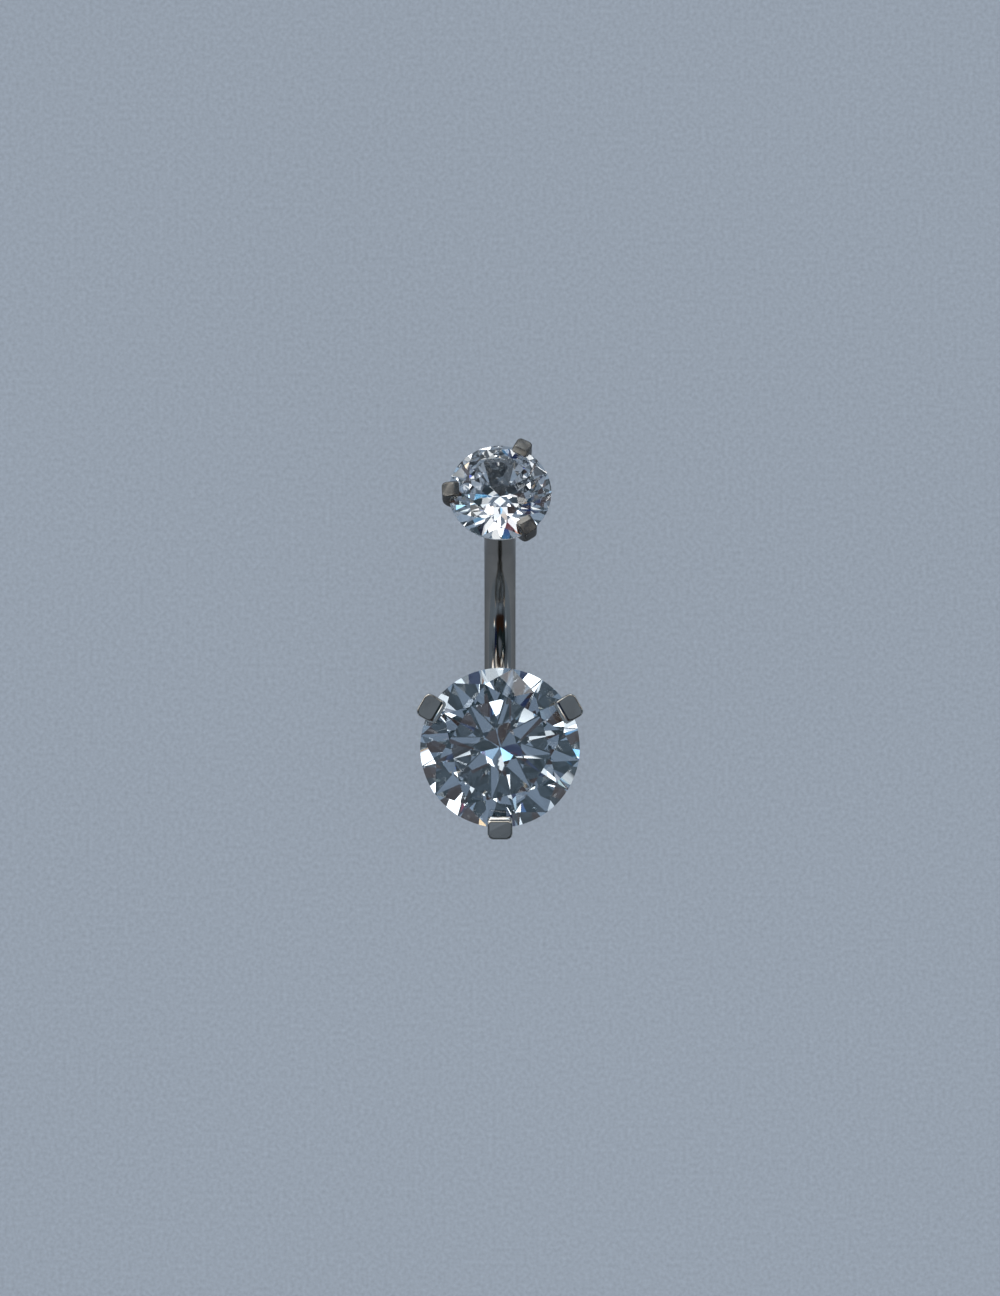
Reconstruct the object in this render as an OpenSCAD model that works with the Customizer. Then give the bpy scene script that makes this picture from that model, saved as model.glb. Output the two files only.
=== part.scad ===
// A curved navel bar with a large claw-set round brilliant at its lower end
// and a small one, on a threaded post, at its upper end.
// It lies on the flat back of the lower setting and on the belly of the bar.
// The origin is the centre of that flat back, and the bar runs towards +Y.

/* [Bar] */
// Diameter of the bar, 14 gauge
bar_d = 1.6; // [1.4:0.1:2]
// Radius of the bend, to the middle of the bar
bend_r = 5.9; // [5.5:0.1:7]
// Degrees that the bar turns from its lowest point to the lower setting
lower_turn = 31; // [27:1:34]
// Degrees that the bar turns from its lowest point to its straight end
upper_turn = 68; // [60:1:76]

/* [Thread] */
// Length of the threaded post that enters the bar
post_l = 1.9; // [1.5:0.1:3]
// Wall of the bar around the bore
bore_wall = 0.16; // [0.12:0.02:0.3]
// Radial play between the post and its bore
post_gap = 0.04; // [0.02:0.01:0.08]
// Space left under the end of the post
bore_play = 0.25; // [0.1:0.05:0.5]
// Straight metal between the bore's floor and the bend
bore_floor = 0.25; // [0.1:0.05:0.5]
// Gap between the upper setting's foot and the end of the bar
head_gap = 0.02; // [0.01:0.01:0.05]

/* [Stones] */
// Width of the lower stone
lower_stone_d = 8; // [7:0.25:9]
// Width of the upper stone
upper_stone_d = 5; // [4.5:0.25:6]
// Gap between a stone and its metal seat
stone_gap = 0.04; // [0.02:0.01:0.08]
// Degrees that the lower stone is turned in its seat
lower_stone_turn = -9; // [-22.5:0.5:22.5]
// Degrees that the upper stone is turned in its seat
upper_stone_turn = -21; // [-22.5:0.5:22.5]

/* [Cut] */
// Slope of the kite facets over the girdle, in degrees
crown_angle = 36; // [33:0.5:38]
// Slope of the lower stone's long facets under the girdle, in degrees
lower_pavilion = 40.25; // [39.5:0.25:42]
// Slope of the upper stone's, which is cut shallower, in degrees
upper_pavilion = 37; // [36:0.25:41]
// Width of the table across its corners, as a share of the stone's
table_share = 0.64; // [0.58:0.01:0.66]
// Thickness of the girdle, as a share of the stone's width
girdle_share = 0.03; // [0.025:0.0025:0.04]
// Reach of the star facets from the table towards the girdle, as a share
star_share = 0.56; // [0.45:0.01:0.6]
// Reach of the lower half facets from the girdle towards the point, as a share
lower_half_share = 0.75; // [0.7:0.01:0.82]
// Width of the small flat on the point, as a share of the stone's width
culet_share = 0.01; // [0.008:0.001:0.02]

/* [Lower setting] */
// Diameter of the cup under the lower stone
lower_cup_d = 4; // [3.6:0.1:4.4]
// Height of that cup
lower_cup_h = 2.5; // [2.3:0.1:2.6]
// Metal between the flat back and the stone's point
lower_floor = 1.15; // [0.9:0.05:1.3]
// Width of each lower claw
lower_claw_w = 1.25; // [0.9:0.05:1.5]
// Thickness of each lower claw outside the stone
lower_claw_t = 0.52; // [0.4:0.02:0.7]
// Height of each lower claw over the middle of the girdle
lower_claw_rise = 1; // [0.9:0.05:1.2]
// Reach of each lower claw over the stone
lower_lip = 0.6; // [0.5:0.02:0.7]
// Thickness of the arms under the lower stone
lower_arm_t = 0.75; // [0.6:0.05:0.9]

/* [Upper setting] */
// Diameter of the cup under the upper stone
upper_cup_d = 2.4; // [2.2:0.1:2.6]
// Height of that cup
upper_cup_h = 1.6; // [1.4:0.1:1.7]
// Metal between the foot and the stone's point
upper_floor = 1.05; // [0.8:0.05:1.2]
// Width of each upper claw
upper_claw_w = 0.8; // [0.65:0.05:1]
// Thickness of each upper claw outside the stone
upper_claw_t = 0.28; // [0.24:0.02:0.4]
// Height of each upper claw over the middle of the girdle
upper_claw_rise = 0.78; // [0.74:0.02:0.9]
// Reach of each upper claw over the stone
upper_lip = 0.5; // [0.4:0.02:0.52]
// Thickness of the arms under the upper stone
upper_arm_t = 0.5; // [0.4:0.05:0.6]

/* [Edges] */
// Radius of the claws' outer corners
claw_round = 0.2; // [0.1:0.02:0.24]
// Slanted face at the tip of each claw
tip_bevel = 0.26; // [0.2:0.02:0.3]
// Height of the edge at the tip of each claw
tip_edge = 0.08; // [0.05:0.01:0.12]
// Fall of each claw's top towards its outer edge
top_fall = 0.05; // [0:0.01:0.1]
// Bevel around the lower setting's flat back
back_bevel = 0.25; // [0.15:0.05:0.4]
// Height of the flare over the upper setting's foot
foot_flare = 0.45; // [0.3:0.05:0.6]

/* [Hidden] */
$fn = 96;
metal = [0.36, 0.355, 0.345];
clear = [0.8, 0.87, 0.93];

// Each stone has eight kites, so half and quarter of the angle between them
// give the azimuths of the star facets and of the half facets.
kites = 8;
kite_step = 360 / kites;
half_step = kite_step / 2;
quarter_step = kite_step / 4;

// Azimuths of the claws, with the lower ones seen as the jewel lies
claw_step = 120;
lower_claw_start = -90;
upper_claw_start = 183;

// The bar is drilled for the post, and its straight end holds the bore.
bore_d = bar_d - 2 * bore_wall;
post_d = bore_d - 2 * post_gap;
bore_l = post_l + bore_play;
straight_l = bore_l + bore_floor;

// The bend's centre stands over the belly, which rests on the same surface as
// the flat back. The bend meets the side of the lower cup.
bend_y = lower_cup_d / 2 + bend_r * sin(lower_turn);
bend_z = bar_d / 2 + bend_r;
// Extra turn that sinks the bar's end into the lower cup
weld_turn = 8;

// Heights and radii of one stone's corners, over the middle of its girdle
function stone_r(d) = d / 2;
function table_r(d) = table_share * d / 2;
function half_girdle(d) = girdle_share * d / 2;
function crown_h(d) = (stone_r(d) - table_r(d)) * tan(crown_angle);
function pavilion_h(d, pavilion) = stone_r(d) * tan(pavilion);
function table_edge_r(d) = table_r(d) * cos(half_step);
function star_r(d) = table_edge_r(d) + star_share * (stone_r(d) - table_edge_r(d));
function star_h(d) = crown_h(d) * (stone_r(d) - star_r(d) * cos(half_step))
    / (stone_r(d) - table_r(d));
function lower_half_r(d) = (1 - lower_half_share) * stone_r(d);
function lower_half_h(d, pavilion) =
    pavilion_h(d, pavilion) * (1 - lower_half_r(d) * cos(half_step) / stone_r(d));

// Slopes of the facets that follow from those corners
function star_slope(d) = atan((crown_h(d) - star_h(d)) / (star_r(d) - table_edge_r(d)));
function upper_half_slope(d) = atan(star_h(d) / ((stone_r(d) - star_r(d)) * cos(quarter_step)));
function lower_half_slope(d, pavilion) =
    atan(lower_half_h(d, pavilion) / ((stone_r(d) - lower_half_r(d)) * cos(quarter_step)));

// Height of the middle of a girdle over its setting's foot
function girdle_h(d, pavilion, floor_t) = floor_t + stone_gap + half_girdle(d) + pavilion_h(d, pavilion);
lower_girdle_h = girdle_h(lower_stone_d, lower_pavilion, lower_floor);
upper_girdle_h = girdle_h(upper_stone_d, upper_pavilion, upper_floor);

// Takes away what lies over planes that slope down and outwards at one angle,
// each through the point at radius r and height z of its own azimuth
module facets(d, r, z, slope, count, first) {
    for (i = [0 : count - 1])
        rotate([0, 0, first + i * 360 / count]) translate([r, 0, z])
            rotate([0, slope, 0]) translate([-d, -d, 0]) cube(2 * d);
}

// A round brilliant with its girdle's middle at the origin, table up
module brilliant(d, pavilion) {
    r = stone_r(d);
    g = half_girdle(d);
    point_h = pavilion_h(d, pavilion) - culet_share * r * tan(pavilion);
    chord_r = r * cos(quarter_step);
    difference() {
        translate([0, 0, -g - point_h]) cylinder(r = r, h = crown_h(d) + point_h + 2 * g);
        facets(d, r, g, crown_angle, kites, 0);
        facets(d, table_edge_r(d), g + crown_h(d), star_slope(d), kites, half_step);
        facets(d, chord_r, g, upper_half_slope(d), 2 * kites, quarter_step);
        mirror([0, 0, 1]) {
            facets(d, r, g, pavilion, kites, 0);
            facets(d, chord_r, g, lower_half_slope(d, pavilion), 2 * kites, quarter_step);
        }
    }
}

// The round space that a stone takes in its setting, with the gap around it
module seat(d, pavilion) {
    r = stone_r(d);
    g = half_girdle(d);
    slant = stone_gap * sin(45);
    rotate_extrude() polygon([
        [0, -g - pavilion_h(d, pavilion) - stone_gap],
        [lower_half_r(d) + slant, -g - lower_half_h(d, pavilion) - slant],
        [r + stone_gap, -g],
        [r + stone_gap, g],
        [star_r(d) + slant, g + star_h(d) + slant],
        [table_r(d), g + crown_h(d) + stone_gap],
        [0, g + crown_h(d) + stone_gap],
    ]);
}

// A rectangle with round corners, from its lower left corner
module round_rectangle(w, h, r) {
    translate([r, 0]) square([w - 2 * r, h]);
    translate([0, r]) square([w, h - 2 * r]);
    for (x = [r, w - r], y = [r, h - r]) translate([x, y]) circle(r);
}

// One claw with its arm, towards +X from the stone's axis, its girdle's middle
// at height 0. Outlines seen from its side, from over it and from outside it
// give its shape together.
module claw(d, pavilion, w, t, rise, lip, arm_t, root_r) {
    r = stone_r(d);
    g = half_girdle(d);
    outer_r = r + stone_gap + t;
    tip_r = r - lip;
    tip_h = g + lip * tan(upper_half_slope(d)) + 2 * stone_gap;
    slope = atan(lower_half_h(d, pavilion) / (r - lower_half_r(d)));
    under = g + arm_t / cos(slope);
    root_h = under + (r - root_r) * tan(slope);
    elbow_h = under - (outer_r - claw_round - r) * tan(slope);
    intersection() {
        rotate([90, 0, 0]) linear_extrude(w, center = true) polygon([
            [root_r, -root_h],
            [outer_r - claw_round, -elbow_h],
            [outer_r, claw_round - elbow_h],
            [outer_r, rise - top_fall],
            [tip_r + tip_bevel, rise],
            [tip_r, tip_h + tip_edge],
            [tip_r, 0],
            [root_r, -root_h + arm_t],
        ]);
        rotate([90, 0, 0]) linear_extrude(w, center = true)
            translate([0, -root_h]) round_rectangle(outer_r, root_h + rise, claw_round);
        translate([0, -w / 2, -root_h]) linear_extrude(root_h + rise)
            round_rectangle(outer_r, w, claw_round);
        rotate([90, 0, 90]) linear_extrude(outer_r)
            translate([-w / 2, -root_h - claw_round])
                round_rectangle(w, root_h + rise + claw_round, claw_round / 2);
    }
}

// A cup with three claws, its foot at height 0 and its seat not yet cut. The
// foot is a disc of foot_r that widens to the cup over the height foot_h.
module cup_with_claws(d, pavilion, stone_h, cup_d, cup_h, foot_r, foot_h,
        claw_w, claw_t, rise, lip, arm_t, start) {
    rotate_extrude() polygon([
        [0, 0], [foot_r, 0], [cup_d / 2, foot_h], [cup_d / 2, cup_h], [0, cup_h],
    ]);
    for (i = [0 : 360 / claw_step - 1])
        rotate([0, 0, start + i * claw_step]) translate([0, 0, stone_h])
            claw(d, pavilion, claw_w, claw_t, rise, lip, arm_t, cup_d / 4);
}

// Puts its children at the bend's centre, with +Z along the straight end
module at_bend() {
    translate([0, bend_y, bend_z]) rotate([upper_turn - 90, 0, 0]) children();
}

// Puts its children on the end of the bar, with +Z along the threaded post
module on_bar_end() {
    at_bend() translate([0, bend_r, straight_l]) children();
}

// The bend, from the straight end round to the lower cup, and the straight end
module bar() {
    at_bend() {
        rotate([-90, 0, 90]) rotate_extrude(angle = upper_turn + lower_turn + weld_turn)
            translate([bend_r, 0]) circle(d = bar_d);
        translate([0, bend_r, 0]) cylinder(d = bar_d, h = straight_l);
    }
}

module bar_and_lower_setting() {
    color(metal) difference() {
        union() {
            cup_with_claws(lower_stone_d, lower_pavilion, lower_girdle_h, lower_cup_d,
                lower_cup_h, lower_cup_d / 2 - back_bevel, back_bevel, lower_claw_w,
                lower_claw_t, lower_claw_rise, lower_lip, lower_arm_t, lower_claw_start);
            bar();
        }
        translate([0, 0, lower_girdle_h]) seat(lower_stone_d, lower_pavilion);
        on_bar_end() translate([0, 0, -bore_l]) cylinder(d = bore_d, h = bore_l + bar_d);
    }
}

module lower_stone() {
    color(clear) translate([0, 0, lower_girdle_h])
        rotate([0, 0, lower_stone_turn]) brilliant(lower_stone_d, lower_pavilion);
}

module upper_setting() {
    color(metal) on_bar_end() translate([0, 0, head_gap]) difference() {
        cup_with_claws(upper_stone_d, upper_pavilion, upper_girdle_h, upper_cup_d,
            upper_cup_h, bar_d / 2, foot_flare, upper_claw_w, upper_claw_t,
            upper_claw_rise, upper_lip, upper_arm_t, upper_claw_start);
        translate([0, 0, upper_girdle_h]) seat(upper_stone_d, upper_pavilion);
    }
}

module upper_stone() {
    color(clear) on_bar_end() translate([0, 0, head_gap + upper_girdle_h])
        rotate([0, 0, upper_stone_turn]) brilliant(upper_stone_d, upper_pavilion);
}

module threaded_post() {
    color(metal) on_bar_end() translate([0, 0, -post_l]) cylinder(d = post_d, h = post_l + head_gap);
}

bar_and_lower_setting();
lower_stone();
upper_setting();
upper_stone();
threaded_post();
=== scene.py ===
# %% [markdown]
# # A curved navel bar with two claw-set stones
# The jewel lies on its back on a pale floor and is seen from above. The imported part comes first, because
# every piece made here stands in its frame, in metres. A scene could also rebuild everything from nothing,
# but then nothing would hold the two models together.

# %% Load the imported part
import math

import bmesh
import bpy
from mathutils import Matrix, Vector


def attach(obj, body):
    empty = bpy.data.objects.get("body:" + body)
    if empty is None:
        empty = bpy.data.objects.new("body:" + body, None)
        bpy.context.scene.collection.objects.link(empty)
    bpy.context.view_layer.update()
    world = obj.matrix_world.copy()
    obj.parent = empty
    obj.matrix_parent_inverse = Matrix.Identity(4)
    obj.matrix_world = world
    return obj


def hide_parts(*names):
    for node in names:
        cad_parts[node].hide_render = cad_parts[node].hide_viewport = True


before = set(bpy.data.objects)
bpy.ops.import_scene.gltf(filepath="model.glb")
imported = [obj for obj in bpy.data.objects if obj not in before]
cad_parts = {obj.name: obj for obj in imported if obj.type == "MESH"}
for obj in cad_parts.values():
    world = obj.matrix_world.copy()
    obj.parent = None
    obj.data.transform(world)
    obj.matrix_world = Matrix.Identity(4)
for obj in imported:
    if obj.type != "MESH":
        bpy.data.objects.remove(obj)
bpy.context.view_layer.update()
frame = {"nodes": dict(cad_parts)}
scene = bpy.context.scene
print("nodes:", ", ".join(frame["nodes"]))

# %% [markdown]
# ## The camera
# The picture was taken from straight above the flat back, close to the jewel. The camera could be aimed
# with a constraint, but it looks straight down, which is where a camera without any rotation looks already.
# Its height and lens make the large stone 8 mm wide at its own distance.

# %% Place the camera
CAMERA_HEIGHT = 0.1647
CAMERA_ALONG = 0.005
LENS = 88.6
SENSOR_WIDTH = 36
NEAREST = 0.001

camera = bpy.data.objects.new("camera", bpy.data.cameras.new("camera"))
scene.collection.objects.link(camera)
camera.location = (0, CAMERA_ALONG, CAMERA_HEIGHT)
camera.data.lens = LENS
camera.data.sensor_width = SENSOR_WIDTH
camera.data.clip_start = NEAREST
scene.camera = camera
print("camera", round(CAMERA_HEIGHT * 1000, 1), "mm over the floor")

# %% [markdown]
# ## Measures
# The measures are those of the solid model, in millimetres. The meshes are made in millimetres too, which
# keeps the numbers readable and the boolean cuts exact, and each finished mesh is scaled to metres once.
# Angles are in degrees, so a few short helpers take them.

# %% Helpers for angles and places


def sin_deg(angle):
    return math.sin(math.radians(angle))


def cos_deg(angle):
    return math.cos(math.radians(angle))


def tan_deg(angle):
    return math.tan(math.radians(angle))


def turned(angle, axis):
    return Matrix.Rotation(math.radians(angle), 4, axis)


def moved(x, y, z):
    return Matrix.Translation((x, y, z))


# %% Measures of the bar and the post
MM = 0.001
BAR_R = 0.8
BEND_R = 5.9
LOWER_TURN = 31
UPPER_TURN = 68
WELD_TURN = 8
BORE_R = 0.64
BORE_L = 2.15
STRAIGHT_L = 2.4
POST_L = 1.9
POST_R = 0.6
HEAD_GAP = 0.02
LOWER_CUP_R = 2.0
BEND_Y = LOWER_CUP_R + BEND_R * sin_deg(LOWER_TURN)
BEND_Z = BAR_R + BEND_R
print("the bend's centre stands", round(BEND_Z, 2), "mm over the floor")

# %% Measures of the two stones
STONE_GAP = 0.04
CROWN_ANGLE = 36
TABLE_SHARE = 0.64
GIRDLE_SHARE = 0.03
STAR_SHARE = 0.56
LOWER_HALF_SHARE = 0.75
EIGHTH = 180 / 8
SIXTEENTH = 180 / 16


class Stone:
    """The radii and heights of a brilliant's corners, over the middle of its girdle."""

    def __init__(self, width, pavilion, floor_t):
        self.r = width / 2
        self.girdle = GIRDLE_SHARE * width / 2
        self.table_r = TABLE_SHARE * self.r
        self.crown_h = (self.r - self.table_r) * tan_deg(CROWN_ANGLE)
        self.pavilion_h = self.r * tan_deg(pavilion)
        side_r = self.table_r * cos_deg(EIGHTH)
        self.star_r = side_r + STAR_SHARE * (self.r - side_r)
        self.star_h = self.crown_h * (self.r - self.star_r * cos_deg(EIGHTH)) / (self.r - self.table_r)
        self.half_r = (1 - LOWER_HALF_SHARE) * self.r
        self.half_h = self.pavilion_h * (1 - self.half_r * cos_deg(EIGHTH) / self.r)
        star_run = (self.r - self.star_r) * cos_deg(SIXTEENTH)
        self.upper_slope = math.degrees(math.atan(self.star_h / star_run))
        self.under_slope = math.degrees(math.atan(self.half_h / (self.r - self.half_r)))
        self.girdle_h = floor_t + STONE_GAP + self.girdle + self.pavilion_h


LOWER = Stone(8, pavilion=40.25, floor_t=1.15)
UPPER = Stone(5, pavilion=37, floor_t=1.05)
print("girdles stand", round(LOWER.girdle_h, 3), "and", round(UPPER.girdle_h, 3), "mm over their feet")

# %% [markdown]
# The upper head stands on the end of the bar, tilted with it. One matrix takes a shape from the head's own
# upright place to there, so the head can be modelled upright, as a jeweller would hold it.

# %% Where the bar ends


def on_bar(angle, along):
    """The place on the bar's middle, at an angle of the bend and a length straight on from there."""
    return moved(0, BEND_Y, BEND_Z) @ turned(angle - 90, "X") @ moved(0, BEND_R, along)


ON_BAR_END = on_bar(UPPER_TURN, STRAIGHT_L)
print("bar end at", [round(v, 3) for v in ON_BAR_END.translation])

# %% [markdown]
# ## Helpers for meshes
# Everything in metal here is either turned or drawn through a row of cross-sections, so one loft makes all
# of it: rings of points, joined by quads, with a cap at each end. Turning is a loft whose rings are circles.
# Primitives with many modifiers would do as well, but a loft puts each edge where the real piece has one.

# %% Loft rings into a closed solid
CUP_SLOT, CLAW_SLOT = 0, 1


def solid_from(name, bm):
    """Takes the faces of a bmesh into an object, with two material slots, the second for the claws."""
    bmesh.ops.recalc_face_normals(bm, faces=bm.faces)
    mesh = bpy.data.meshes.new(name)
    bm.to_mesh(mesh)
    bm.free()
    for _ in (CUP_SLOT, CLAW_SLOT):
        mesh.materials.append(None)
    piece = bpy.data.objects.new(name, mesh)
    scene.collection.objects.link(piece)
    return piece


def loft(name, rings):
    """A closed mesh object in millimetres through rings of equally many points."""
    bm = bmesh.new()
    rows = [[bm.verts.new(point) for point in ring] for ring in rings]
    count = len(rows[0])
    for low, high in zip(rows, rows[1:]):
        for i in range(count):
            j = (i + 1) % count
            bm.faces.new((low[i], low[j], high[j], high[i]))
    bm.faces.new(rows[0][::-1])
    bm.faces.new(rows[-1])
    return solid_from(name, bm)


def circle(radius, height, sides):
    angles = [2 * math.pi / sides * i for i in range(sides)]
    return [Vector((radius * math.cos(a), radius * math.sin(a), height)) for a in angles]


# %% Round the corners of a turned profile
CORNER_STEPS = 5
ROUNDED_SHARE = 0.49
THINNEST_R = 1e-3


def bow(start, corner, end, t):
    """The point at share t of a curve that leaves start towards the corner and arrives at end."""
    return start * (1 - t) ** 2 + corner * 2 * t * (1 - t) + end * t ** 2


def soften(points):
    """Each point is (radius, height, rounding). Returns the outline with its corners rounded.

    A corner takes less than half of each edge beside it, so that two of them never meet.
    """
    outline = []
    for k, (r, z, rounding) in enumerate(points):
        here = Vector((r, z))
        if rounding == 0 or k in (0, len(points) - 1):
            outline.append(here)
            continue
        before = Vector(points[k - 1][:2]) - here
        after = Vector(points[k + 1][:2]) - here
        reach = min(rounding, ROUNDED_SHARE * before.length, ROUNDED_SHARE * after.length)
        start, end = here + before.normalized() * reach, here + after.normalized() * reach
        outline += [bow(start, here, end, s / CORNER_STEPS) for s in range(CORNER_STEPS + 1)]
    return outline


def turn(name, points, sides=96):
    """A solid turned around Z. The outline runs from its foot to its top."""
    return loft(name, [circle(max(p.x, THINNEST_R), p.y, sides) for p in soften(points)])


print("a rounded corner has", CORNER_STEPS + 1, "points")

# %% Join and cut solids


def apply_boolean(piece, operation, others):
    """Joins or cuts piece with the other solids, which are used up."""
    for other in others:
        modifier = piece.modifiers.new(operation.lower(), "BOOLEAN")
        modifier.operation, modifier.solver, modifier.object = operation, "EXACT", other
    graph = bpy.context.evaluated_depsgraph_get()
    made = bpy.data.meshes.new_from_object(piece.evaluated_get(graph))
    piece.modifiers.clear()
    piece.data = made
    for other in others:
        bpy.data.objects.remove(other)
    print(piece.name, operation.lower(), "with", len(others))
    return piece


# %% [markdown]
# ## Claws
# Each claw and its arm is one flat strip of metal: it leaves the cup, runs out under the stone, turns up
# past the girdle and is bent over the stone's edge. Seen from above its end is a square with soft corners
# and a slanted lip. A bevelled box would be quicker, but it couldn't follow the bend. So the strip is lofted
# between an inner and an outer rail, and the room for the stone is cut out of it later, as a setter cuts
# the seat.

# %% The outline of a strip's cross-section
SIDEWAYS = Vector((0, 1, 0))


def strip_section(inner, outer, width, inner_round, outer_round):
    """A rectangle with soft corners that spans two points (x, z) and the width along Y."""
    start = Vector((inner[0], 0, inner[1]))
    across = Vector((outer[0], 0, outer[1])) - start
    length = across.length
    across.normalize()
    half = width / 2
    corners = [
        (inner_round, -half + inner_round, inner_round, 180),
        (length - outer_round, -half + outer_round, outer_round, 270),
        (length - outer_round, half - outer_round, outer_round, 0),
        (inner_round, half - inner_round, inner_round, 90),
    ]
    points = []
    for along, beside, rounding, first in corners:
        for s in range(CORNER_STEPS + 1):
            a = math.radians(first + 90 * s / CORNER_STEPS)
            x, y = along + rounding * math.cos(a), beside + rounding * math.sin(a)
            points.append(start + across * x + SIDEWAYS * y)
    return points


# %% A claw with its arm
LIP_ROUND = 0.06
ARM_BACK, ARM_UP = 0.55, 0.85
ELBOW_STEPS = 8
ELBOW_REACH = 1.2
ELBOW_UNDER_GIRDLE = 0.06
INNER_UNDER_GIRDLE = 0.1
INNER_CLIMB = 0.8
INNER_CORNER = 0.6
TOP_LEAD = 0.6
TOP_FLAT = 0.85


class Claw:
    """The sizes of one claw and its arm, with heights over the middle of the stone's girdle.

    The top rises to rise at its inner edge and lies lower by fall at its outer edge. The lip reaches over
    the stone by lip. The three values of soft round the corners, the top and the elbow.
    """

    def __init__(self, stone, width, thickness, rise, fall, lip, lip_bevel, lip_edge, arm_t, root_r, soft):
        self.stone, self.width, self.rise, self.lip_bevel = stone, width, rise, lip_bevel
        self.arm_t, self.root_r = arm_t, root_r
        self.corner, self.top_round, elbow = soft
        self.tip_x = stone.r - lip
        self.outer_x = stone.r + STONE_GAP + thickness
        self.elbow_x = self.outer_x - elbow
        self.elbow_top = min(self.underside(self.outer_x) + elbow * ELBOW_REACH, -ELBOW_UNDER_GIRDLE)
        self.lip_h = stone.girdle + lip * tan_deg(stone.upper_slope) + 2 * STONE_GAP + lip_edge
        self.outer_share = 1 - fall / rise

    def underside(self, x):
        """The height of the arm's underside, which follows the stone's own slope."""
        under = self.stone.girdle + self.arm_t / cos_deg(self.stone.under_slope)
        return -under - (self.stone.r - x) * tan_deg(self.stone.under_slope)

    def row(self, inner, outer, inset=0.0):
        inner_round, outer_round = self.corner * INNER_CORNER, self.corner - inset / 2
        return strip_section(inner, outer, self.width - 2 * inset, inner_round, outer_round)

    def arm_rows(self):
        rows = []
        for x in (self.root_r, (self.root_r + self.elbow_x) / 2, self.elbow_x):
            rail = Vector((x, self.underside(x)))
            rows.append(self.row((x - self.arm_t * ARM_BACK, rail.y + self.arm_t * ARM_UP), rail))
        return rows

    def elbow_rows(self):
        foot_z, corner_z = self.underside(self.elbow_x), self.underside(self.outer_x)
        back_x, back_z = self.arm_t * ARM_BACK, foot_z + self.arm_t * ARM_UP
        rows = []
        for s in range(1, ELBOW_STEPS):
            t = s / ELBOW_STEPS
            outer_x = bow(self.elbow_x, self.outer_x, self.outer_x, t)
            outer_z = bow(foot_z, corner_z, self.elbow_top, t)
            inner_x = self.elbow_x - back_x + (self.tip_x - self.elbow_x + back_x) * t
            inner_z = back_z - back_z * t * INNER_CLIMB
            rows.append(self.row((inner_x, inner_z), (outer_x, outer_z)))
        return rows

    def lip_rows(self):
        """The upright part from the elbow to the rounded lower edge of the lip."""
        rows = [self.row((self.tip_x, max(z, -INNER_UNDER_GIRDLE)), (self.outer_x, z))
                for z in (self.elbow_top, 0)]
        for angle in (0, 20, 40, 60):
            x = self.tip_x + LIP_ROUND * (1 - cos_deg(angle))
            z = self.lip_h - LIP_ROUND * (1 - sin_deg(angle))
            rows.append(self.row((x, z), (self.outer_x, z * self.outer_share)))
        return rows

    def top_rows(self):
        """The slanted face of the lip and the rounded edge of the top, which ends in a flat."""
        upright = self.rise - self.top_round
        slant = (upright - self.lip_h) / (self.rise - self.lip_h)
        rows = []
        for angle in (0, 30, 60, 90):
            inset = self.top_round * (1 - cos_deg(angle))
            x = self.tip_x + self.lip_bevel * (slant + (1 - slant) * sin_deg(angle)) + inset * TOP_LEAD
            z = upright + self.top_round * sin_deg(angle)
            rows.append(self.row((x, z), (self.outer_x - inset, z * self.outer_share), inset))
        flat = self.top_round * TOP_FLAT
        outer = self.outer_x - inset - flat, z * self.outer_share
        rows.append(self.row((x + flat, z), outer, inset + flat))
        return rows

    def piece(self, name, angle):
        """The claw as a solid in its setting's frame, turned to its place around the stone."""
        made = loft(name, self.arm_rows() + self.elbow_rows() + self.lip_rows() + self.top_rows())
        for face in made.data.polygons:
            face.material_index = CLAW_SLOT
        made.data.transform(turned(angle, "Z") @ moved(0, 0, self.stone.girdle_h))
        return made


# %% The seat that a stone takes
SEAT_SIDES = 144


def seat(stone):
    """The round space for a stone with its gap, from the point to above the table."""
    slanted_gap = STONE_GAP * sin_deg(45)
    cutter = turn("seat_cutter", [
        (0, -stone.girdle - stone.pavilion_h - STONE_GAP, 0),
        (stone.half_r + slanted_gap, -stone.girdle - stone.half_h - slanted_gap, 0),
        (stone.r + STONE_GAP, -stone.girdle, 0),
        (stone.r + STONE_GAP, stone.girdle, 0),
        (stone.star_r + slanted_gap, stone.girdle + stone.star_h + slanted_gap, 0),
        (stone.table_r, stone.girdle + stone.crown_h + STONE_GAP, 0),
        (0, stone.girdle + stone.crown_h + STONE_GAP, 0),
    ], sides=SEAT_SIDES)
    cutter.data.transform(moved(0, 0, stone.girdle_h))
    return cutter


print("the seats are", 2 * (LOWER.r + STONE_GAP), "and", 2 * (UPPER.r + STONE_GAP), "mm wide")

# %% [markdown]
# ## Bar
# The bar is a length of round wire, bent to an arc and drilled at its straight end. It is lofted ring by
# ring along its middle, over the rounded rim and down into the bore, so one closed mesh has both the outside
# and the bore. A curve with a bevel would be quicker, but it can't have the bore. Where the wire runs into
# the cup it swells a little, as the solder does there.

# %% The bar, drilled and rimmed
BAR_SIDES = 64
BEND_STEPS = 54
SOLDER_SWELL = 0.16
SOLDER_REACH = 0.28
RIM_ROUND = 0.09
RIM_STEPS = 5
MOUTH = 0.03
BORE_CONE = 0.2
BORE_POINT_R = 0.02


def bar_ring(angle, along, radius):
    """A ring around the bar's middle, at an angle of the bend and a length straight on from there."""
    place = on_bar(angle, along)
    return [place @ point for point in circle(radius, 0, BAR_SIDES)]


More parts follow.
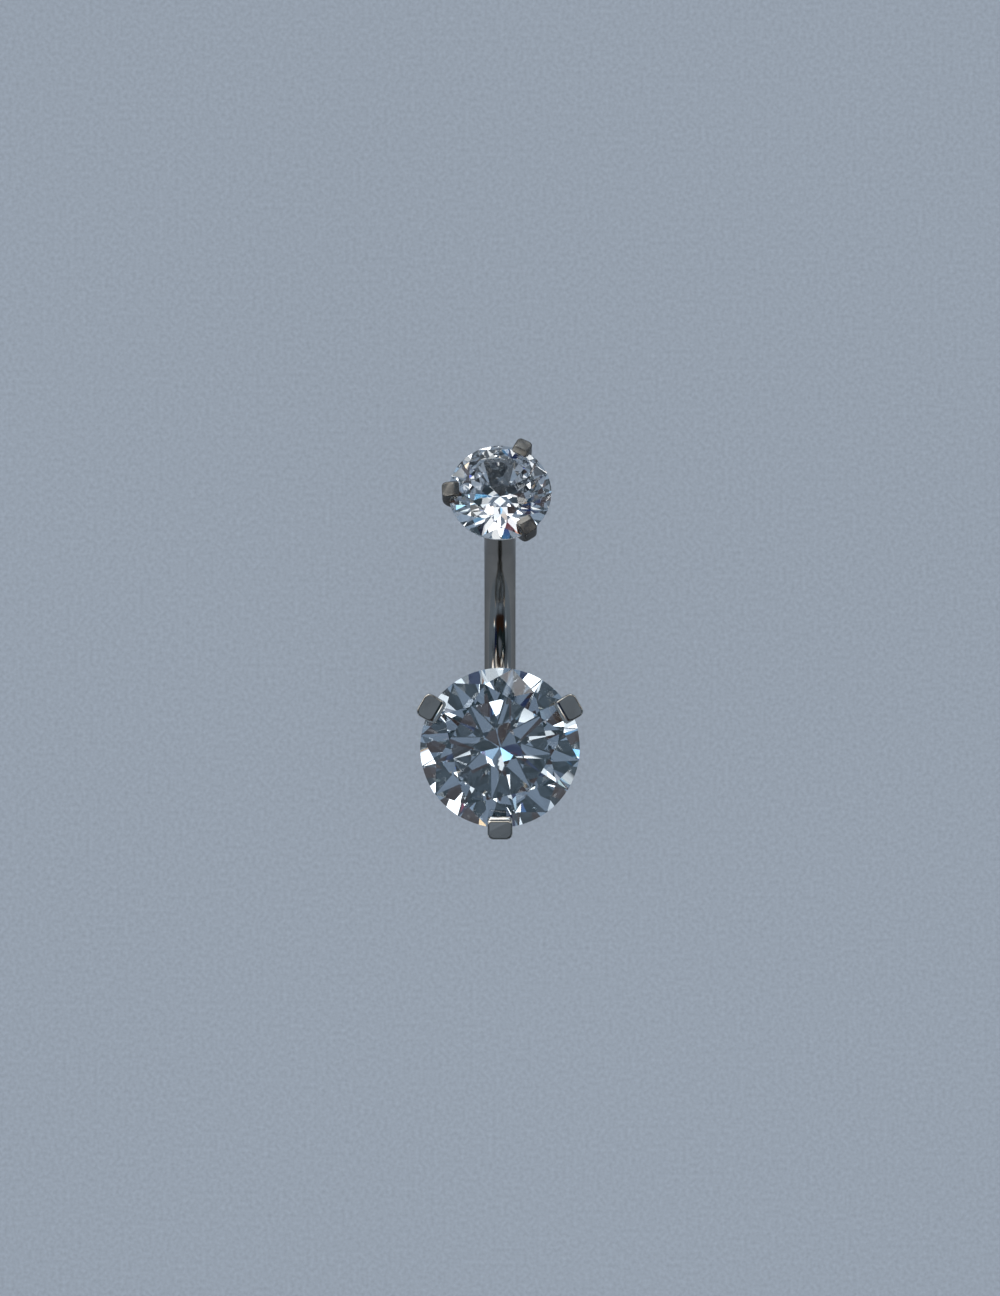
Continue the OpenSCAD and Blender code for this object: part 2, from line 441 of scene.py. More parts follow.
def bar_with_bore():
    rings = []
    start = -LOWER_TURN - WELD_TURN
    for k in range(BEND_STEPS + 1):
        angle = start + (UPPER_TURN - start) * k / BEND_STEPS
        reach = math.radians(angle + LOWER_TURN) * BEND_R
        swell = SOLDER_SWELL * math.exp(-(max(reach, 0) / SOLDER_REACH) ** 2)
        rings.append(bar_ring(angle, 0, BAR_R + swell))
    rings.append(bar_ring(UPPER_TURN, STRAIGHT_L / 2, BAR_R))
    for k in range(RIM_STEPS + 1):
        angle = 90 * k / RIM_STEPS
        along = STRAIGHT_L - RIM_ROUND + RIM_ROUND * sin_deg(angle)
        rings.append(bar_ring(UPPER_TURN, along, BAR_R - RIM_ROUND * (1 - cos_deg(angle))))
    for along, radius in (
        (STRAIGHT_L, BORE_R + MOUTH),
        (STRAIGHT_L - MOUTH, BORE_R),
        (STRAIGHT_L - BORE_L + BORE_CONE, BORE_R),
        (STRAIGHT_L - BORE_L, BORE_POINT_R),
    ):
        rings.append(bar_ring(UPPER_TURN, along, radius))
    return loft("bar", rings)


bar = bar_with_bore()
print("bar:", len(bar.data.polygons), "faces")

# %% [markdown]
# ## Lower setting
# The lower setting is a turned cup with a flat back, three claws and the end of the bar, all soldered
# together. They are joined by exact booleans and the seat is cut last. Remeshing would join them too, but
# it would wear down the crisp lips of the claws.

# %% The lower setting with the bar
LOWER_BACK_R = 1.72
LOWER_BEVEL_H = 0.27
LOWER_CUP_H = 2.5
LOWER_MOUTH_R = 1.5
MOUTH_DIP = 0.1
LOWER_CLAWS_AT = (-90, 30, 150)

lower_cup = turn("bar_with_lower_setting", [
    (0, 0, 0),
    (LOWER_BACK_R, 0, 0.06),
    (LOWER_CUP_R, LOWER_BEVEL_H, 0.25),
    (LOWER_CUP_R, LOWER_CUP_H, 0.1),
    (LOWER_MOUTH_R, LOWER_CUP_H, 0.06),
    (0, LOWER_CUP_H - MOUTH_DIP, 0),
])
lower_claw = Claw(
    LOWER, width=1.25, thickness=0.52, rise=1.0, fall=0.02, lip=0.6, lip_bevel=0.26, lip_edge=0.08,
    arm_t=0.75, root_r=1.0, soft=(0.3, 0.06, 0.45),
)
lower_claws = [lower_claw.piece("lower_claw", angle) for angle in LOWER_CLAWS_AT]
lower_metal = apply_boolean(lower_cup, "UNION", lower_claws + [bar])
lower_metal = apply_boolean(lower_metal, "DIFFERENCE", [seat(LOWER)])
print("lower setting and bar:", len(lower_metal.data.polygons), "faces")

# %% [markdown]
# ## Upper setting
# The upper head is a smaller setting of the same kind. Its foot is as wide as the bar and flares to the cup,
# so the joint between head and bar hardly shows when the head is screwed down. It could be modelled where it
# stands, but upright it is only turned and joined, and then one matrix moves it to the end of the bar.

# %% The upper setting
UPPER_CUP_R = 1.2
UPPER_CUP_H = 1.6
UPPER_MOUTH_R = 0.9
FOOT_BEVEL = 0.03
NECK_R, NECK_H = 0.86, 0.24
FLARE_H = 0.52
UPPER_CLAWS_AT = (183, 303, 63)

upper_cup = turn("upper_claw_setting", [
    (0, 0, 0),
    (BAR_R - FOOT_BEVEL, 0, 0.05),
    (BAR_R, 2 * FOOT_BEVEL, 0.05),
    (NECK_R, NECK_H, 0.15),
    (UPPER_CUP_R, FLARE_H, 0.2),
    (UPPER_CUP_R, UPPER_CUP_H, 0.08),
    (UPPER_MOUTH_R, UPPER_CUP_H, 0.05),
    (0, UPPER_CUP_H - MOUTH_DIP, 0),
])
upper_claw = Claw(
    UPPER, width=0.8, thickness=0.28, rise=0.76, fall=0.1, lip=0.5, lip_bevel=0.22, lip_edge=0.06,
    arm_t=0.5, root_r=0.6, soft=(0.22, 0.05, 0.4),
)
upper_claws = [upper_claw.piece("upper_claw", angle) for angle in UPPER_CLAWS_AT]
upper_metal = apply_boolean(upper_cup, "UNION", upper_claws)
upper_metal = apply_boolean(upper_metal, "DIFFERENCE", [seat(UPPER)])
upper_metal.data.transform(ON_BAR_END @ moved(0, 0, HEAD_GAP))
print("upper setting:", len(upper_metal.data.polygons), "faces")

# %% [markdown]
# ## Threaded post
# The post shows when the head is unscrewed. Its thread is a real helix: the rings of the mesh climb by one
# pitch in each turn, and the last point of a ring meets the ring one pitch above. A bump map could fake it,
# but the outline of the post would stay smooth.

# %% The thread
PITCH = 0.25
ROWS_PER_PITCH = 8
THREAD_SIDES = 48
THREAD_ROOT_R = 0.475
ROOT_FLAT, FLANK = 0.08, 0.34
SPARE_PITCHES = 3
START_BELOW = 2


def thread_r(row):
    """The radius of the thread's profile, with a flat crest and a flat root."""
    phase = (row % ROWS_PER_PITCH) / ROWS_PER_PITCH
    slope = min(max((abs(phase - 0.5) - ROOT_FLAT) / FLANK, 0), 1)
    return POST_R - (POST_R - THREAD_ROOT_R) * slope


def helix_row(bm, row):
    """One ring of points that climbs by a pitch on its way around."""
    points = []
    for i in range(THREAD_SIDES):
        a = 2 * math.pi * i / THREAD_SIDES
        climbed = (row + ROWS_PER_PITCH * i / THREAD_SIDES) * (PITCH / ROWS_PER_PITCH)
        r = thread_r(row)
        points.append(bm.verts.new((r * math.cos(a), r * math.sin(a), climbed - START_BELOW * PITCH)))
    return points


def threaded_rod(length):
    """A threaded rod with ragged ends, longer than the post that is cut from it."""
    bm = bmesh.new()
    rows = (math.ceil(length / PITCH) + SPARE_PITCHES) * ROWS_PER_PITCH
    grid = [helix_row(bm, j) for j in range(rows + 1)]
    for j in range(rows):
        for i in range(THREAD_SIDES - 1):
            bm.faces.new((grid[j][i], grid[j][i + 1], grid[j + 1][i + 1], grid[j + 1][i]))
        up = j + ROWS_PER_PITCH
        if up + 1 <= rows:
            bm.faces.new((grid[j][-1], grid[up][0], grid[up + 1][0], grid[j + 1][-1]))
    for at_foot in (True, False):
        rim = [edge for edge in bm.edges if edge.is_boundary]
        low = [edge for edge in rim if (edge.verts[0].co.z + edge.verts[1].co.z) / 2 < length / 2]
        bmesh.ops.contextual_create(bm, geom=low if at_foot else [edge for edge in rim if edge not in low])
    return solid_from("thread_of_post", bm)


# %% Cut the post from the rod
POST_FULL_L = POST_L + HEAD_GAP
POST_TIP_R, POST_TIP_H = 0.42, 0.16

blank = turn("post_blank", [
    (0, 0, 0),
    (POST_TIP_R, 0, 0.03),
    (POST_R, POST_TIP_H, 0.02),
    (POST_R, POST_FULL_L, 0),
    (0, POST_FULL_L, 0),
], sides=THREAD_SIDES)
post = apply_boolean(threaded_rod(POST_FULL_L), "INTERSECT", [blank])
post.data.transform(ON_BAR_END @ moved(0, 0, -POST_L))
print("post:", len(post.data.polygons), "faces")

# %% [markdown]
# ## From millimetres to the frame
# The finished metal is scaled to metres. Its faces are shaded smooth, except over real edges, and weighted
# normals keep the flat faces flat, so that the polished metal doesn't look dented. More subdivision would
# round it as well, but it would make the meshes many times heavier.

# %% Scale and shade the metal
SHARP_FROM = 32
FACE_WEIGHT = 80

for piece in (lower_metal, upper_metal, post):
    piece.data.transform(Matrix.Scale(MM, 4))
    piece.data.shade_smooth()
    piece.data.set_sharp_from_angle(angle=math.radians(SHARP_FROM))
    weighted = piece.modifiers.new("even_normals", "WEIGHTED_NORMAL")
    weighted.keep_sharp = True
    weighted.weight = FACE_WEIGHT
    top = max(vertex.co.z for vertex in piece.data.vertices) / MM
    print(piece.name, "reaches", round(top, 2), "mm over the floor")

# %% [markdown]
# ## Node helpers
# A material is a small tree of nodes. It could be drawn by hand in the node editor, but a script can be read
# and run again. The helpers make a node and wire it in one line, so a material reads as a list of what it
# is made of.

# %% Helpers for node trees
FLOAT, COLOUR, VECTOR = "NodeSocketFloat", "NodeSocketColor", "NodeSocketVector"


def add_node(tree, kind, values=None, links=None, **settings):
    """A node with its settings, its plain socket values and its incoming links."""
    node = tree.nodes.new(kind)
    for key, value in settings.items():
        setattr(node, key, value)
    for key, value in (values or {}).items():
        node.inputs[key].default_value = value
    for key, source in (links or {}).items():
        tree.links.new(source, node.inputs[key])
    return node


def maths(tree, operation, *terms):
    """A math node. Each term is a number or an output socket."""
    node = tree.nodes.new("ShaderNodeMath")
    node.operation = operation
    for socket, term in zip(node.inputs, terms):
        if isinstance(term, (int, float)):
            socket.default_value = term
        else:
            tree.links.new(term, socket)
    return node.outputs[0]


def vector_maths(tree, operation, *terms):
    """A vector math node. Each term is a tuple or an output socket."""
    node = tree.nodes.new("ShaderNodeVectorMath")
    node.operation = operation
    for socket, term in zip(node.inputs, terms):
        if isinstance(term, tuple):
            socket.default_value = term
        else:
            tree.links.new(term, socket)
    return node.outputs["Value"] if operation == "DOT_PRODUCT" else node.outputs["Vector"]


def new_group(name, inputs, outputs):
    """A shader node group. Returns it with its input and output nodes."""
    group = bpy.data.node_groups.new(name, "ShaderNodeTree")
    for key, kind, value in inputs:
        socket = group.interface.new_socket(key, in_out="INPUT", socket_type=kind)
        socket.default_value = value
    for key, kind in outputs:
        group.interface.new_socket(key, in_out="OUTPUT", socket_type=kind)
    print("group:", name)
    return group, group.nodes.new("NodeGroupInput"), group.nodes.new("NodeGroupOutput")


def new_material(name):
    """A material with its node tree and its Principled shader."""
    material = bpy.data.materials.new(name)
    material.use_nodes = True
    print("material:", name)
    return material, material.node_tree, material.node_tree.nodes["Principled BSDF"]


# %% [markdown]
# ## Polish marks and edge wear
# Polished titanium isn't a perfect mirror: the wheel leaves fine lines, handling leaves small scratches, and
# the edges are rubbed brighter. Photographs of worn metal could be laid over it, but they would need a flat
# map of each piece. Both effects are groups of noise instead, because the bar, the settings and the post all
# show them, each to its own degree.

# %% Group: polish marks
SMEAR_SCALE = 900.0
SCRATCH_SCALE = 1400.0
SCRATCH_WIDTH = 0.012

polish_group, g_in, g_out = new_group(
    "polish_marks",
    [("Fineness", FLOAT, 9000.0), ("Stretch", VECTOR, (1.0, 0.12, 0.12)), ("Scratches", FLOAT, 0.5)],
    [("Height", FLOAT), ("Smear", FLOAT)],
)
place = add_node(polish_group, "ShaderNodeTexCoord").outputs["Object"]
drawn = vector_maths(polish_group, "MULTIPLY", place, g_in.outputs["Stretch"])
lines = add_node(polish_group, "ShaderNodeTexNoise", {"Detail": 3.0, "Roughness": 0.6},
                 {"Vector": drawn, "Scale": g_in.outputs["Fineness"]})
clouds = add_node(polish_group, "ShaderNodeTexNoise", {"Scale": SMEAR_SCALE, "Detail": 4.0},
                  {"Vector": place})
cells = add_node(polish_group, "ShaderNodeTexVoronoi", {"Scale": SCRATCH_SCALE}, {"Vector": drawn},
                 feature="DISTANCE_TO_EDGE")
nick = maths(polish_group, "LESS_THAN", cells.outputs["Distance"], SCRATCH_WIDTH)
nick = maths(polish_group, "MULTIPLY", nick, g_in.outputs["Scratches"])
height = maths(polish_group, "SUBTRACT", lines.outputs[0], nick)
polish_group.links.new(height, g_out.inputs["Height"])
smear = add_node(polish_group, "ShaderNodeMapRange", {"From Min": 0.35, "From Max": 0.7},
                 {"Value": clouds.outputs[0]})
polish_group.links.new(smear.outputs[0], g_out.inputs["Smear"])

# %% Group: edge wear
wear_group, g_in, g_out = new_group(
    "edge_wear", [("Amount", FLOAT, 1.0), ("Low", FLOAT, 0.52), ("High", FLOAT, 0.62)], [("Mask", FLOAT)])
point = add_node(wear_group, "ShaderNodeNewGeometry").outputs["Pointiness"]
edge = add_node(wear_group, "ShaderNodeMapRange", None,
                {"Value": point, "From Min": g_in.outputs["Low"], "From Max": g_in.outputs["High"]})
worn = maths(wear_group, "MULTIPLY", edge.outputs[0], g_in.outputs["Amount"])
wear_group.links.new(worn, g_out.inputs["Mask"])

# %% [markdown]
# ## Titanium
# Titanium is a darker and slightly warmer metal than steel. It is a metallic Principled shader whose colour
# is the metal's reflectance. The groups vary the colour a little over edges and smears, the roughness and
# the height. One material could dress it all, but the pieces differ: the bar and the lower cup are
# polished, the lower claws are the same titanium coloured lighter, as painted light, the upper head is
# coloured darker, as painted shade, and its claws are satin and darker still, also painted shade, and the
# post is left as it comes from the lathe.

# %% The titanium material
SMEAR_TONE = 0.86
EDGE_TONE = 1.25
SMOOTHEST, ROUGHEST = 0.8, 1.3
MARK_STRENGTH = 0.12
MARK_DEPTH = 0.000004


def toned(colour, tone):
    return tuple(min(1.0, tone * c) for c in colour) + (1.0,)


def titanium(name, reflectance, roughness, stretch, scratches):
    """Titanium with its marks drawn out by stretch, which is small along the lines of the polish."""
    material, tree, shader = new_material(name)
    shader.inputs["Metallic"].default_value = 1.0
    shader.inputs["Specular Tint"].default_value = (0.6, 0.6, 0.6, 1.0)
    marks = add_node(tree, "ShaderNodeGroup", node_tree=polish_group)
    marks.inputs["Stretch"].default_value = stretch
    marks.inputs["Scratches"].default_value = scratches
    wear = add_node(tree, "ShaderNodeGroup", node_tree=wear_group)
    smeared = add_node(tree, "ShaderNodeMix",
                       {"A": reflectance + (1.0,), "B": toned(reflectance, SMEAR_TONE)},
                       {"Factor": marks.outputs["Smear"]}, data_type="RGBA")
    rubbed = add_node(tree, "ShaderNodeMix", {"B": toned(reflectance, EDGE_TONE)},
                      {"A": smeared.outputs["Result"], "Factor": wear.outputs["Mask"]}, data_type="RGBA")
    tree.links.new(rubbed.outputs["Result"], shader.inputs["Base Color"])
    rough = add_node(tree, "ShaderNodeMapRange",
                     {"To Min": roughness * SMOOTHEST, "To Max": roughness * ROUGHEST},
                     {"Value": marks.outputs["Smear"]})
    tree.links.new(rough.outputs[0], shader.inputs["Roughness"])
    bump = add_node(tree, "ShaderNodeBump", {"Strength": MARK_STRENGTH, "Distance": MARK_DEPTH},
                    {"Height": marks.outputs["Height"]})
    tree.links.new(bump.outputs["Normal"], shader.inputs["Normal"])
    return material


bar_titanium = titanium("polished_titanium", (0.34, 0.32, 0.29), 0.12, (1.0, 0.12, 0.12), 0.5)
# painted light: the lower claws are the bar's titanium given a lighter colour
lighter_painted_claws = titanium("painted_light_claw_titanium", (0.52, 0.49, 0.44), 0.11, (1.0, 1.0, 0.3), 0.7)
# painted shade: the upper claws and head are the same titanium given darker colours; only the claws' satin
# roughness is their own
satin_painted_shade_titanium = titanium("satin_painted_shade_titanium", (0.14, 0.134, 0.123), 0.24, (1.0, 1.0, 0.3), 0.5)
painted_shade_head_titanium = titanium("painted_shade_head_titanium", (0.205, 0.196, 0.178), 0.17, (1.0, 1.0, 0.3), 0.5)
post_titanium = titanium("turned_titanium", (0.40, 0.385, 0.36), 0.26, (0.1, 0.1, 1.0), 0.3)

# %% [markdown]
# ## Stones
# Cubic zirconia bends light nearly as much as diamond. The exact facets could be cut again as a mesh, but
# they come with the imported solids, so only a material is added: clear glass with an index of 2.12. The
# deeper stone swallows a little more light than the small one, so its tint is stronger. The girdle of a
# machine-cut stone is left finely frosted, and a mask from the surface's direction finds it, whichever way
# the stone stands.

# %% Group: girdle mask
STEEPEST_LEAN = 0.2

girdle_group, g_in, g_out = new_group(
    "girdle_frost",
    [("Axis", VECTOR, (0.0, 0.0, 1.0)), ("Frost", FLOAT, 0.35)],
    [("Roughness", FLOAT), ("Mask", FLOAT)],
)
facing = add_node(girdle_group, "ShaderNodeNewGeometry").outputs["True Normal"]
lean = vector_maths(girdle_group, "DOT_PRODUCT", facing, g_in.outputs["Axis"])
band = maths(girdle_group, "LESS_THAN", maths(girdle_group, "ABSOLUTE", lean), STEEPEST_LEAN)
frosted = maths(girdle_group, "MULTIPLY", band, g_in.outputs["Frost"])
girdle_group.links.new(band, g_out.inputs["Mask"])
girdle_group.links.new(frosted, g_out.inputs["Roughness"])

# %% The stone material
STONE_INDEX = 2.12
GIRDLE_COLOUR = (0.8, 0.84, 0.88, 1.0)


def clear_stone(name, axis, tint):
    material, tree, shader = new_material(name)
    shader.inputs["Transmission Weight"].default_value = 1.0
    shader.inputs["IOR"].default_value = STONE_INDEX
    frost = add_node(tree, "ShaderNodeGroup", node_tree=girdle_group)
    frost.inputs["Axis"].default_value = axis
    tree.links.new(frost.outputs["Roughness"], shader.inputs["Roughness"])
    colour = add_node(tree, "ShaderNodeMix", {"A": tint + (1.0,), "B": GIRDLE_COLOUR},
                      {"Factor": frost.outputs["Mask"]}, data_type="RGBA")
    tree.links.new(colour.outputs["Result"], shader.inputs["Base Color"])
    return material


head_axis = (ON_BAR_END.to_3x3() @ Vector((0, 0, 1))).normalized()
lower_clear = clear_stone("clear_stone_lower", (0.0, 0.0, 1.0), (0.76, 0.85, 0.92))
upper_clear = clear_stone("clear_stone_upper", tuple(head_axis), (0.96, 0.985, 1.0))

# %% [markdown]
# ## Dressing
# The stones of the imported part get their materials. The metal could lie over its plain solids, but two skins
# at the same place would flicker, so each piece of metal rides on its body and replaces its node.

# %% Dress the nodes
for node_name, material in (("lower_stone", lower_clear), ("upper_stone", upper_clear)):
    stone_mesh = frame["nodes"][node_name].data
    stone_mesh.materials.clear()
    stone_mesh.materials.append(material)

# The lower claws get the lighter colour, which is painted light, and the upper head and its claws get darker
# colours, which are painted shade.
for piece, slot_materials, body, node_name in (
    (lower_metal, (bar_titanium, lighter_painted_claws), "bar", "bar_and_lower_setting"),
    (upper_metal, (painted_shade_head_titanium, satin_painted_shade_titanium), "upper_head", "upper_setting"),
    (post, (post_titanium, post_titanium), "post", "threaded_post"),
):
    for index, material in enumerate(slot_materials):
        piece.data.materials[index] = material
    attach(piece, body)
    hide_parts(node_name)
    print(piece.name, "claw faces:", sum(f.material_index == CLAW_SLOT for f in piece.data.polygons))

# %% [markdown]
# ## Floor
# The floor is pale grey-blue paper with a fine grain. In the picture the light comes from all sides and the
# jewel hardly throws a shadow. Lamps all around could do that, but they would show in the stones. So most of
# the paper's brightness is its own, as of a lit panel, and the rest is ordinary reflected light, which keeps
# a soft contact shadow.

# %% The floor
FLOOR_R = 1.5
FLOOR_T = 0.002
FLOOR_SIDES = 96
BLACK = (0, 0, 0, 1)
PAPER_COLOUR = (0.29, 0.33, 0.385, 1)
GRAIN, PATCHINESS, DARKEST_SHARE = 0.43, 0.08, 0.72
REFLECTED_SHARE = 0.8
OWN_LIGHT = 0.8

floor = loft("floor", [circle(FLOOR_R, z, FLOOR_SIDES) for z in (-FLOOR_T, 0.0)])
paper, tree, shader = new_material("pale_paper")
shader.inputs["Roughness"].default_value = 0.8
shader.inputs["Specular IOR Level"].default_value = 0.2
shader.inputs["Emission Strength"].default_value = OWN_LIGHT
place = add_node(tree, "ShaderNodeTexCoord").outputs["Object"]
fibres = add_node(tree, "ShaderNodeTexNoise", {"Scale": 5000.0, "Detail": 3.0}, {"Vector": place})
patches = add_node(tree, "ShaderNodeTexNoise", {"Scale": 18.0, "Detail": 2.0}, {"Vector": place})
mottle = maths(tree, "ADD", maths(tree, "MULTIPLY", fibres.outputs[0], GRAIN),
               maths(tree, "MULTIPLY", patches.outputs[0], PATCHINESS))
mottle = maths(tree, "ADD", mottle, DARKEST_SHARE)
lit = add_node(tree, "ShaderNodeMix", {"A": BLACK, "B": PAPER_COLOUR}, {"Factor": mottle},
               data_type="RGBA", clamp_factor=False)
reflected = add_node(tree, "ShaderNodeMix", {"A": BLACK, "Factor": REFLECTED_SHARE},
                     {"B": lit.outputs["Result"]}, data_type="RGBA")
tree.links.new(reflected.outputs["Result"], shader.inputs["Base Color"])
tree.links.new(lit.outputs["Result"], shader.inputs["Emission Color"])
floor.data.materials.clear()
floor.data.materials.append(paper)

# %% [markdown]
# ## Light
# The stones show the room: each facet is a small mirror to some part of it. The room is a grey-blue dome.
# Its top is dark around a small pale cap, as where a camera hangs over the jewel under a pale ceiling, and
# the dark part gives the stones their depth. Soft panels are the lamps, and dark shades are the things
# between them. The panels have thin coloured rims, which the stones spread into small flashes of colour, as
# real ones do by bending blue light more than red. Lamps could light the floor as well, but they would leave
# the facets empty.

# %% Group: soft panel
NEARLY_BESIDE = 0.05

panel_group, g_in, g_out = new_group(
    "soft_panel",
    [
        ("Direction", VECTOR, (0.0, 0.0, 1.0)),
        ("Centre", VECTOR, (0.0, 0.0, 1.0)),
        ("Across", VECTOR, (1.0, 0.0, 0.0)),
        ("Up", VECTOR, (0.0, 1.0, 0.0)),
        ("Half Width", FLOAT, 0.2),
        ("Half Height", FLOAT, 0.2),
        ("Softness", FLOAT, 0.03),
        ("Fire", FLOAT, 0.006),
    ],
    [("Colour", COLOUR), ("Mask", FLOAT)],
)


def towards(axis):
    """How far the looked-at direction goes along one of the panel's axes."""
    return vector_maths(panel_group, "DOT_PRODUCT", g_in.outputs["Direction"], g_in.outputs[axis])


def inside(value, half):
    """1 where the value lies within the half width, falling to 0 over the softness."""
    margin = maths(panel_group, "SUBTRACT", half, maths(panel_group, "ABSOLUTE", value))
    fade = add_node(panel_group, "ShaderNodeMapRange", {"From Min": 0.0},
                    {"Value": margin, "From Max": g_in.outputs["Softness"]})
    return fade.outputs[0]


front = towards("Centre")
ahead = maths(panel_group, "GREATER_THAN", front, NEARLY_BESIDE)
depth = maths(panel_group, "MAXIMUM", front, NEARLY_BESIDE)
u = maths(panel_group, "DIVIDE", towards("Across"), depth)
v = maths(panel_group, "DIVIDE", towards("Up"), depth)
tall = inside(v, g_in.outputs["Half Height"])
bands = []
for shift in (-1.0, 0.0, 1.0):
    shifted = maths(panel_group, "ADD", u, maths(panel_group, "MULTIPLY", g_in.outputs["Fire"], shift))
    wide = inside(shifted, g_in.outputs["Half Width"])
    bands.append(maths(panel_group, "MULTIPLY", maths(panel_group, "MULTIPLY", wide, tall), ahead))
joined = add_node(panel_group, "ShaderNodeCombineColor", None, dict(zip(("Red", "Green", "Blue"), bands)))
panel_group.links.new(joined.outputs[0], g_out.inputs["Colour"])
panel_group.links.new(bands[1], g_out.inputs["Mask"])

# %% The dome
DARK = (0.018, 0.032, 0.04, 1)
PALE = (0.19, 0.235, 0.30, 1)
DOME = [
    # height of the direction, colour
    (0.50, (0.22, 0.285, 0.37, 1)),
    (0.766, (0.18, 0.235, 0.31, 1)),
    (0.829, DARK),
    (0.962, DARK),
    (0.975, PALE),
]
HORIZON = (0.25, 0.315, 0.40, 1)

world = bpy.data.worlds.new("room")
scene.world = world
world.use_nodes = True
tree = world.node_tree
tree.nodes.clear()
direction = add_node(tree, "ShaderNodeTexCoord").outputs["Generated"]
height = add_node(tree, "ShaderNodeSeparateXYZ", None, {"Vector": direction}).outputs["Z"]
dome = add_node(tree, "ShaderNodeValToRGB", None, {"Fac": height})
ramp = dome.color_ramp
ramp.elements[0].position, ramp.elements[0].color = 0.0, HORIZON
ramp.elements[1].position, ramp.elements[1].color = 1.0, PALE
for position, colour in DOME:
    ramp.elements.new(position).color = colour
print("dome:", len(ramp.elements), "colours from the horizon to overhead")

# %% [markdown]
# A real room isn't even: shelves, doors and curtains are lighter and darker patches. They could be modelled,
# but only their blurred shapes show in the facets, so a coarse noise makes the upper part of the dome
# uneven and leaves the horizon and the cap calm.

# %% Clutter in the upper room
clutter = add_node(tree, "ShaderNodeTexNoise", {"Scale": 2.6, "Detail": 1.0, "Roughness": 0.5},
                   {"Vector": direction})
clutter = add_node(tree, "ShaderNodeMapRange",
                   {"From Min": 0.34, "From Max": 0.66, "To Min": 0.35, "To Max": 1.45},
                   {"Value": clutter.outputs[0]}, interpolation_type="SMOOTHSTEP").outputs[0]
over_horizon = add_node(tree, "ShaderNodeMapRange", {"From Min": 0.35, "From Max": 0.75},
                        {"Value": height}).outputs[0]
under_cap = add_node(tree, "ShaderNodeMapRange", {"From Min": 0.978, "From Max": 0.958},
                     {"Value": height}).outputs[0]
share = maths(tree, "MULTIPLY", over_horizon, under_cap)
clutter = maths(tree, "ADD", 1.0, maths(tree, "MULTIPLY", share, maths(tree, "SUBTRACT", clutter, 1.0)))
light = add_node(tree, "ShaderNodeVectorMath", None, {"Vector": dome.outputs["Color"], "Scale": clutter},
                 operation="SCALE").outputs[0]
print("world nodes so far:", len(tree.nodes))

# %% Shades and lamps
BROWN, SLATE, NAVY = (0.04, 0.022, 0.016), (0.016, 0.028, 0.033), (0.012, 0.022, 0.075)
SHADES = [
    # azimuth, elevation, half width, half height, colour
    (270, 62, 0.55, 0.20, BROWN),
    (192, 56, 0.25, 0.14, NAVY),
    (348, 56, 0.25, 0.14, SLATE),
    (160, 74, 0.24, 0.12, SLATE),
    (32, 74, 0.24, 0.12, SLATE),
    (288, 74, 0.24, 0.12, SLATE),
    (66, 74, 0.24, 0.12, SLATE),
    (126, 72, 0.16, 0.12, BROWN),
    (66, 58, 0.12, 0.20, NAVY),
]
LAMPS = [
    # azimuth, elevation, half width, half height, strength
    (95, 61, 0.24, 0.10, 1.2),
    (42, 50, 0.12, 0.20, 0.8),
    (126, 53, 0.14, 0.14, 3.0),
    (152, 56, 0.14, 0.12, 1.0),
    (150, 32, 0.24, 0.12, 3.0),
    (30, 26, 0.24, 0.12, 1.2),
    (104, 32, 0.30, 0.12, 3.0),
    (81, 20, 0.14, 0.12, 1.0),
    (99, 20, 0.09, 0.09, 3.0),
    (78, 40, 0.06, 0.06, 3.0),
    (167, 60, 0.06, 0.06, 2.6),
    (18, 67, 0.06, 0.06, 2.6),
    (55, 69, 0.12, 0.05, 3.0),
    (132, 44, 0.07, 0.07, 3.0),
    (330, 40, 0.06, 0.06, 3.0),
    (210, 40, 0.06, 0.06, 3.0),
]


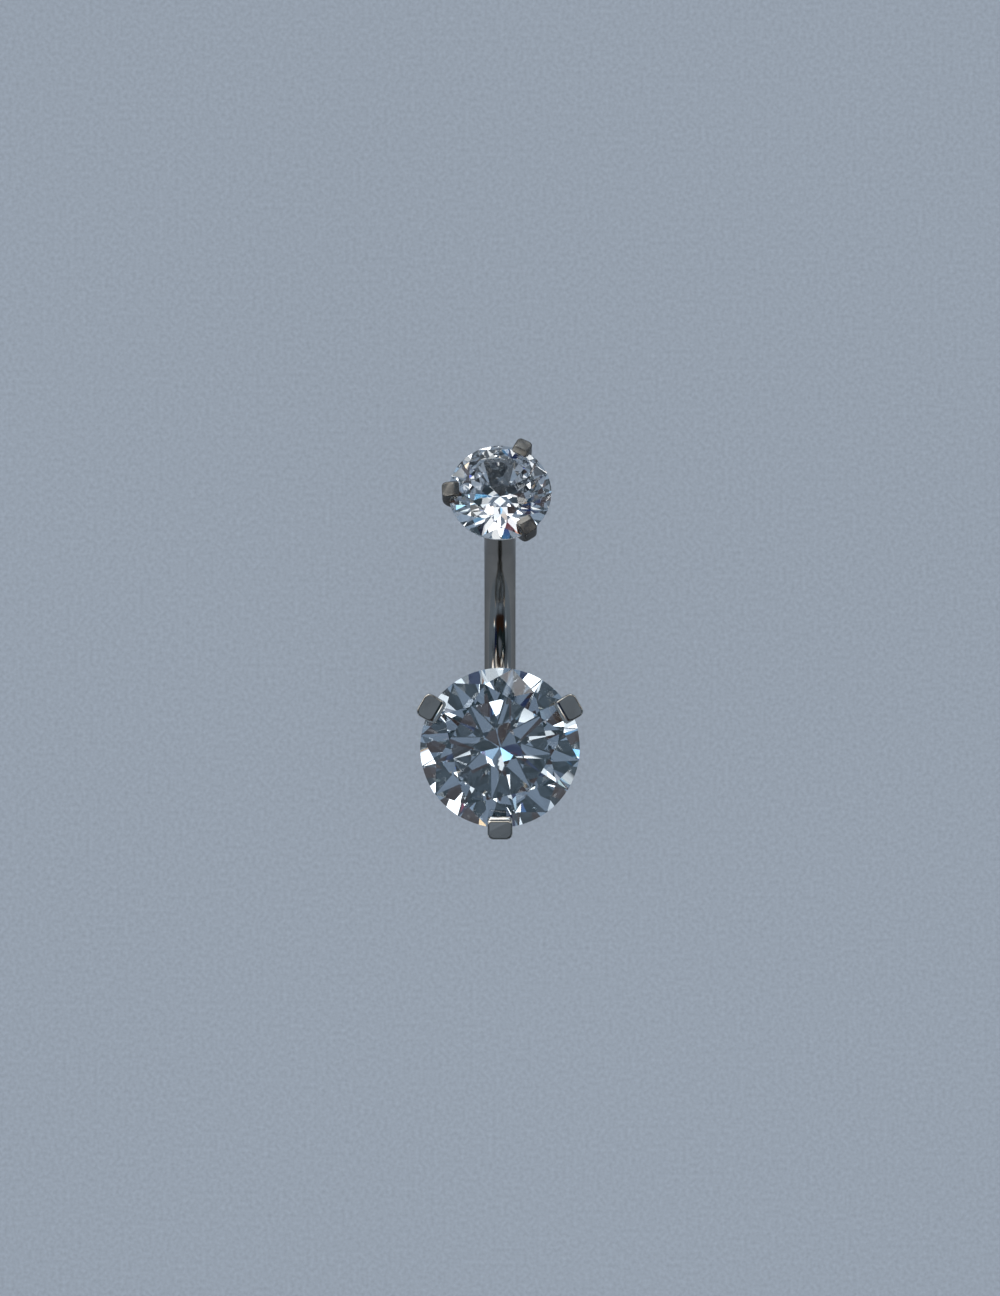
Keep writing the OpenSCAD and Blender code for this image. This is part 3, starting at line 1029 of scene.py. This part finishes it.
def place_panel(azimuth, elevation, half_w, half_h):
    """One panel of the room, at an azimuth and elevation in degrees."""
    east, north, up = cos_deg(azimuth), sin_deg(azimuth), sin_deg(elevation)
    level = cos_deg(elevation)
    panel = add_node(tree, "ShaderNodeGroup", node_tree=panel_group)
    for key, value in (
        ("Centre", (east * level, north * level, up)),
        ("Across", (-north, east, 0.0)),
        ("Up", (-east * up, -north * up, level)),
        ("Half Width", half_w),
        ("Half Height", half_h),
    ):
        panel.inputs[key].default_value = value
    tree.links.new(direction, panel.inputs["Direction"])
    return panel


for *where, colour in SHADES:
    covered = place_panel(*where).outputs["Mask"]
    light = add_node(tree, "ShaderNodeMix", {"B": colour + (1,)}, {"A": light, "Factor": covered},
                     data_type="RGBA").outputs["Result"]
for *where, strength in LAMPS:
    lamp = place_panel(*where).outputs["Colour"]
    light = vector_maths(tree, "MULTIPLY_ADD", lamp, (strength,) * 3, light)
print("room:", len(SHADES), "shades and", len(LAMPS), "lamps")

# %% [markdown]
# ## Who sees the room
# Metal and stones mirror the whole room. The paper could gather its light as well, but small bright lamps
# reach it as noise, and every one of its samples would have to look at all the panels. So rays that leave
# the paper find one mean colour. The camera finds a plain backdrop where it looks past the paper.

# %% Light for each kind of ray
MEAN_LIGHT = (0.33, 0.36, 0.395, 1)
BACKDROP = (0.31, 0.355, 0.43, 1)

room = add_node(tree, "ShaderNodeBackground", None, {"Color": light})
mean_light = add_node(tree, "ShaderNodeBackground", {"Color": MEAN_LIGHT})
backdrop = add_node(tree, "ShaderNodeBackground", {"Color": BACKDROP})
rays = add_node(tree, "ShaderNodeLightPath")
for_paper = add_node(tree, "ShaderNodeMixShader", None,
                     {0: rays.outputs["Is Diffuse Ray"], 1: room.outputs[0], 2: mean_light.outputs[0]})
all_rays = add_node(tree, "ShaderNodeMixShader", None,
                    {0: rays.outputs["Is Camera Ray"], 1: for_paper.outputs[0], 2: backdrop.outputs[0]})
add_node(tree, "ShaderNodeOutputWorld", None, {"Surface": all_rays.outputs[0]})
world.cycles.sampling_method = "NONE"
print("world nodes:", len(tree.nodes))

# %% [markdown]
# ## Paths of light
# Light crosses a brilliant many times before it leaves, so the paths are allowed more bounces through it
# than usual. Fewer would be quicker, but the facets would go black. The plain view transform keeps the floor
# at the colour that it was given.

# %% Paths and view
scene.cycles.max_bounces = 16
scene.cycles.transmission_bounces = 16
scene.cycles.glossy_bounces = 8
scene.view_settings.view_transform = "Standard"
print("bounces:", scene.cycles.max_bounces)
